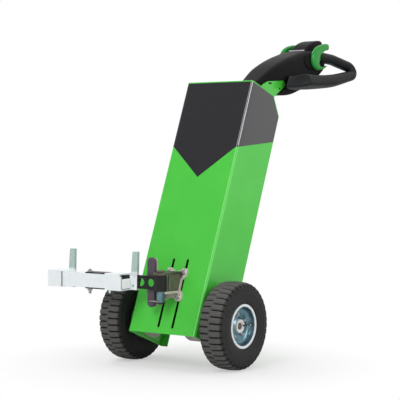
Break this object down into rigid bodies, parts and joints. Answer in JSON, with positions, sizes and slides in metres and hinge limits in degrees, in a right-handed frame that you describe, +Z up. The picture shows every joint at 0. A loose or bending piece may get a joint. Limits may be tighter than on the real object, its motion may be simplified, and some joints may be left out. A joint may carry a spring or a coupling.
{
  "type": "walk-behind electric tug",
  "caption": "Pedestrian-steered battery tug with two driven wheels, a leaning sheet-metal housing, a swinging clamp coupling in front and a steering head with looped grips behind.",
  "frame": {"origin": "on the floor, midway between the contacts of the two driven wheels", "axes": "+Z up, +X to the right seen from the front, -Y towards the coupling, +Y towards the operator"},
  "size_m": [0.6127, 1.0369, 1.0202],
  "materials": {
    "green_paint": "gloss",
    "dark_film": "gloss",
    "black_plastic": "satin",
    "green_plastic": "gloss",
    "zinc": "satin",
    "black_steel": "satin",
    "steel": "satin",
    "cast": "rough",
    "tyre_rubber": "rough",
    "grey_rubber": "rough",
    "battery_case": "satin"
  },
  "bodies": {
    "chassis": {"front_panel": "green_paint", "side_panel_left": "green_paint", "side_panel_right": "green_paint", "top_panel": "green_paint", "back_cover": "green_paint", "front_film": "dark_film", "side_film_left": "dark_film", "side_film_right": "dark_film", "axle_cradle": "green_paint", "drive_axle": "cast", "stub_axle_left": "steel", "stub_axle_right": "steel", "bearing_flange_left": "cast", "bearing_flange_right": "cast", "motor_block": "black_steel", "battery_tray": "green_paint", "battery_block": "battery_case", "rear_arm": "green_paint", "caster_plate": "zinc", "hitch_bracket": "cast", "hinge_pin": "zinc", "head_bracket": "green_paint", "head_cover": "black_plastic", "control_pod": "black_plastic", "grip_left": "black_plastic", "grip_right": "black_plastic", "thumb_lever_left": "green_plastic", "thumb_lever_right": "green_plastic"},
    "wheel_left": {"tyre_left": "tyre_rubber", "rim_left": "zinc", "hub_left": "steel"},
    "wheel_right": {"tyre_right": "tyre_rubber", "rim_right": "zinc", "hub_right": "steel"},
    "caster": {"caster_fork": "zinc", "caster_bolt": "steel"},
    "caster_wheel": {"caster_tread": "grey_rubber", "caster_core": "black_plastic"},
    "coupling_arm": {"coupling_bar": "black_steel", "buffer_pad": "grey_rubber", "fixed_jaw": "zinc", "clamp_bolt": "steel"},
    "jaw": {"sliding_jaw": "zinc"}
  },
  "joints": [
    {"name": "wheel_left_spin", "type": "hinge", "parent": "chassis", "child": "wheel_left", "pos_m": [-0.187, 0, 0.13], "axis": [1, 0, 0], "continuous": true},
    {"name": "wheel_right_spin", "type": "hinge", "parent": "chassis", "child": "wheel_right", "pos_m": [0.187, 0, 0.13], "axis": [1, 0, 0], "continuous": true},
    {"name": "caster_swivel", "type": "hinge", "parent": "chassis", "child": "caster", "pos_m": [0, 0.285, 0.115], "axis": [0, 0, 1], "continuous": true},
    {"name": "caster_spin", "type": "hinge", "parent": "caster", "child": "caster_wheel", "pos_m": [0, 0.318, 0.05], "axis": [1, 0, 0], "continuous": true},
    {"name": "coupling_swing", "type": "hinge", "parent": "chassis", "child": "coupling_arm", "pos_m": [0.01075, -0.122, 0.254], "axis": [0, 0, 1], "range_deg": [0, 160]},
    {"name": "jaw_slide", "type": "slide", "parent": "coupling_arm", "child": "jaw", "axis": [1, 0, 0], "range_m": [-0.075, 0.015]}
  ]
}
